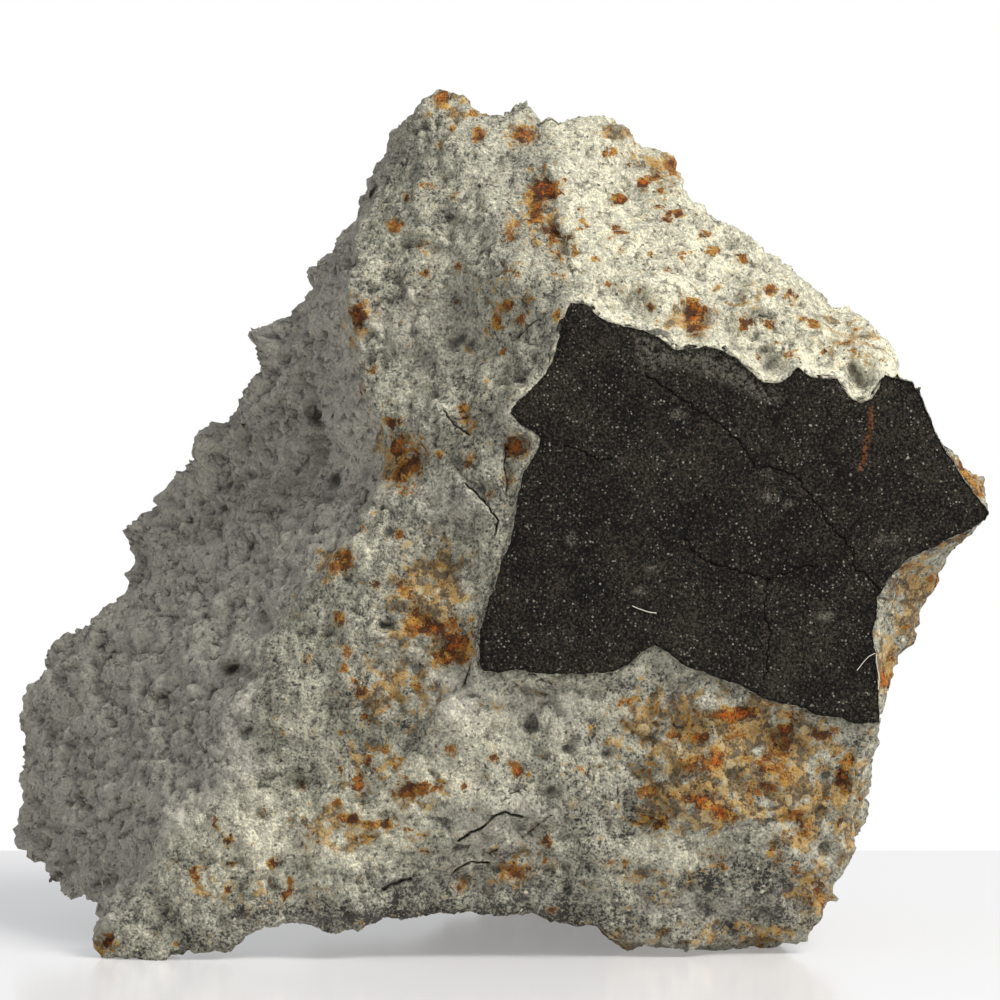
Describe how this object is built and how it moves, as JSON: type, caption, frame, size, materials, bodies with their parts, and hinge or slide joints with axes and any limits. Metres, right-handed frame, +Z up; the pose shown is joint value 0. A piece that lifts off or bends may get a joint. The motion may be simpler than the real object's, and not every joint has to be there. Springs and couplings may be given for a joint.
{
  "type": "chondrite meteorite",
  "caption": "Broken stony meteorite fragment, roughly pyramidal, pale rough faces with a flat patch of dark fusion crust on its front, standing on a small uneven base",
  "frame": {"origin": "centre of the bounding box at the base, on the surface the stone rests on", "axes": "+X to the right along the longest side, +Y to the back, away from the fusion crust, +Z up"},
  "size_m": [0.0484, 0.0316, 0.042],
  "materials": {
    "stone": "rough broken chondrite, pale grey to cream with rust stains, and a matte black-brown fusion crust on the front patch"
  },
  "bodies": {
    "root": {"stone": "stone"}
  },
  "joints": []
}
